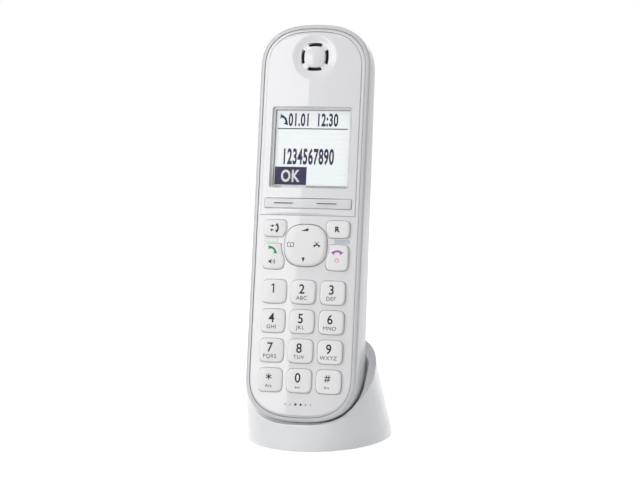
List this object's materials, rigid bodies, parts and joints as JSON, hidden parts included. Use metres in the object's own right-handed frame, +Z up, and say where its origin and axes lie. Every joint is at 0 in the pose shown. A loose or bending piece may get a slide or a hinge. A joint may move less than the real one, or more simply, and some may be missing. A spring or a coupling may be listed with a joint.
{
  "type": "cordless phone with base",
  "caption": "Slim cordless handset with a display, a crowned key field and an earpiece, leaning in an oval charging cradle with a slanting open rim.",
  "frame": {"origin": "middle of the cradle's footprint, on the surface it stands on", "axes": "+X to the right as the user sees the keys, +Y away from the user, +Z up"},
  "size_m": [0.0598, 0.0711, 0.1688],
  "materials": {
    "shell": "moulded, light silver grey, satin gloss",
    "face": "moulded, pearl white, soft gloss",
    "lens": "clear moulded window, polished",
    "gasket": "foam, dark",
    "lcd": "pale display glass in a light frame",
    "board": "green solder mask",
    "key_mat": "translucent silicone",
    "speaker": "dark, matte",
    "cell": "plain plastic sleeve",
    "contact": "nickel plated",
    "screw": "zinc plated",
    "key": "white key cap, satin gloss",
    "pivot": "moulded",
    "soft_key": "light grey, soft gloss",
    "key_bar": "pale tint",
    "cradle": "moulded, glossy pearl white",
    "cradle_base": "moulded, fine texture",
    "foot": "soft, matte",
    "socket": "black moulding"
  },
  "bodies": {
    "cradle": {"cradle_cover": "cradle", "cradle_base": "cradle_base", "cradle_feet": "foot", "cradle_screws": "screw", "contact_block": "socket", "charge_board": "board", "dc_jack": "socket", "dc_jack_pin": "contact"},
    "handset": {"rear_cover": "shell", "front_cover": "face", "display_panel": "face", "display_lens": "lens", "lcd_gasket": "gasket", "lcd_module": "lcd", "main_board": "board", "key_mat": "key_mat", "receiver": "speaker", "receiver_gasket": "gasket", "microphone": "speaker", "ringer": "speaker", "antenna": "board", "battery_cells": "cell", "battery_contacts": "contact", "hand_contacts": "contact", "hand_screws": "screw", "key_webs": "key_bar"},
    "battery_lid": {"battery_cover": "shell"},
    "key_1": {"key_1": "key"},
    "key_2": {"key_2": "key"},
    "key_3": {"key_3": "key"},
    "key_4": {"key_4": "key"},
    "key_5": {"key_5": "key"},
    "key_6": {"key_6": "key"},
    "key_7": {"key_7": "key"},
    "key_8": {"key_8": "key"},
    "key_9": {"key_9": "key"},
    "key_star": {"key_star": "key"},
    "key_0": {"key_0": "key"},
    "key_hash": {"key_hash": "key"},
    "key_redial": {"key_redial": "key"},
    "key_talk": {"key_talk": "key"},
    "key_flash": {"key_flash": "key"},
    "key_off": {"key_off": "key"},
    "nav_pivot": {"nav_pivot": "pivot"},
    "nav_key": {"nav_key": "key"},
    "soft_keys": {"soft_key_bar": "soft_key"},
    "spring_left": {"spring_contact_left": "contact"},
    "spring_right": {"spring_contact_right": "contact"}
  },
  "joints": [
    {"name": "handset_lift", "type": "slide", "parent": "cradle", "child": "handset", "axis": [0, 0.196, 0.9806], "range_m": [0, 0.075]},
    {"name": "battery_lid_off", "type": "slide", "parent": "handset", "child": "battery_lid", "axis": [0, 0.9893, -0.1456], "range_m": [0, 0.006]},
    {"name": "key_1_press", "type": "slide", "parent": "handset", "child": "key_1", "axis": [0, 0.9806, -0.196], "range_m": [0, 0.0007], "stiffness_N_per_m": 900, "springref_m": -0.0004},
    {"name": "key_2_press", "type": "slide", "parent": "handset", "child": "key_2", "axis": [0, 0.9806, -0.196], "range_m": [0, 0.0007], "stiffness_N_per_m": 900, "springref_m": -0.0004},
    {"name": "key_3_press", "type": "slide", "parent": "handset", "child": "key_3", "axis": [0, 0.9806, -0.196], "range_m": [0, 0.0007], "stiffness_N_per_m": 900, "springref_m": -0.0004},
    {"name": "key_4_press", "type": "slide", "parent": "handset", "child": "key_4", "axis": [0, 0.9806, -0.196], "range_m": [0, 0.0007], "stiffness_N_per_m": 900, "springref_m": -0.0004},
    {"name": "key_5_press", "type": "slide", "parent": "handset", "child": "key_5", "axis": [0, 0.9806, -0.196], "range_m": [0, 0.0007], "stiffness_N_per_m": 900, "springref_m": -0.0004},
    {"name": "key_6_press", "type": "slide", "parent": "handset", "child": "key_6", "axis": [0, 0.9806, -0.196], "range_m": [0, 0.0007], "stiffness_N_per_m": 900, "springref_m": -0.0004},
    {"name": "key_7_press", "type": "slide", "parent": "handset", "child": "key_7", "axis": [0, 0.9806, -0.196], "range_m": [0, 0.0007], "stiffness_N_per_m": 900, "springref_m": -0.0004},
    {"name": "key_8_press", "type": "slide", "parent": "handset", "child": "key_8", "axis": [0, 0.9806, -0.196], "range_m": [0, 0.0007], "stiffness_N_per_m": 900, "springref_m": -0.0004},
    {"name": "key_9_press", "type": "slide", "parent": "handset", "child": "key_9", "axis": [0, 0.9806, -0.196], "range_m": [0, 0.0007], "stiffness_N_per_m": 900, "springref_m": -0.0004},
    {"name": "key_star_press", "type": "slide", "parent": "handset", "child": "key_star", "axis": [0, 0.9806, -0.196], "range_m": [0, 0.0007], "stiffness_N_per_m": 900, "springref_m": -0.0004},
    {"name": "key_0_press", "type": "slide", "parent": "handset", "child": "key_0", "axis": [0, 0.9806, -0.196], "range_m": [0, 0.0007], "stiffness_N_per_m": 900, "springref_m": -0.0004},
    {"name": "key_hash_press", "type": "slide", "parent": "handset", "child": "key_hash", "axis": [0, 0.9806, -0.196], "range_m": [0, 0.0007], "stiffness_N_per_m": 900, "springref_m": -0.0004},
    {"name": "key_redial_press", "type": "slide", "parent": "handset", "child": "key_redial", "axis": [0, 0.9806, -0.196], "range_m": [0, 0.0007], "stiffness_N_per_m": 900, "springref_m": -0.0004},
    {"name": "key_talk_press", "type": "slide", "parent": "handset", "child": "key_talk", "axis": [0, 0.9806, -0.196], "range_m": [0, 0.0007], "stiffness_N_per_m": 900, "springref_m": -0.0004},
    {"name": "key_flash_press", "type": "slide", "parent": "handset", "child": "key_flash", "axis": [0, 0.9806, -0.196], "range_m": [0, 0.0007], "stiffness_N_per_m": 900, "springref_m": -0.0004},
    {"name": "key_off_press", "type": "slide", "parent": "handset", "child": "key_off", "axis": [0, 0.9806, -0.196], "range_m": [0, 0.0007], "stiffness_N_per_m": 900, "springref_m": -0.0004},
    {"name": "nav_tilt", "type": "hinge", "parent": "handset", "child": "nav_pivot", "pos_m": [0, -0.01896, 0.08074], "axis": [1, 0, 0], "range_deg": [-2, 2], "stiffness_Nm_per_rad": 1.2},
    {"name": "nav_rock", "type": "hinge", "parent": "nav_pivot", "child": "nav_key", "pos_m": [0, -0.01896, 0.08074], "axis": [0, 0.196, 0.9806], "range_deg": [-2, 2], "stiffness_Nm_per_rad": 1.2},
    {"name": "soft_key_rock", "type": "hinge", "parent": "handset", "child": "soft_keys", "pos_m": [0, -0.01567, 0.09722], "axis": [0, 0.196, 0.9806], "range_deg": [-1.5, 1.5], "stiffness_Nm_per_rad": 1.2},
    {"name": "spring_left_rise", "type": "slide", "parent": "cradle", "child": "spring_left", "axis": [0, 0.196, 0.9806], "range_m": [0, 0.0012]},
    {"name": "spring_right_rise", "type": "slide", "parent": "cradle", "child": "spring_right", "axis": [0, 0.196, 0.9806], "range_m": [0, 0.0012]}
  ],
  "couplings": [
    {"joint": "spring_left_rise", "follows": "handset_lift", "ratio": 0.016},
    {"joint": "spring_right_rise", "follows": "handset_lift", "ratio": 0.016}
  ]
}
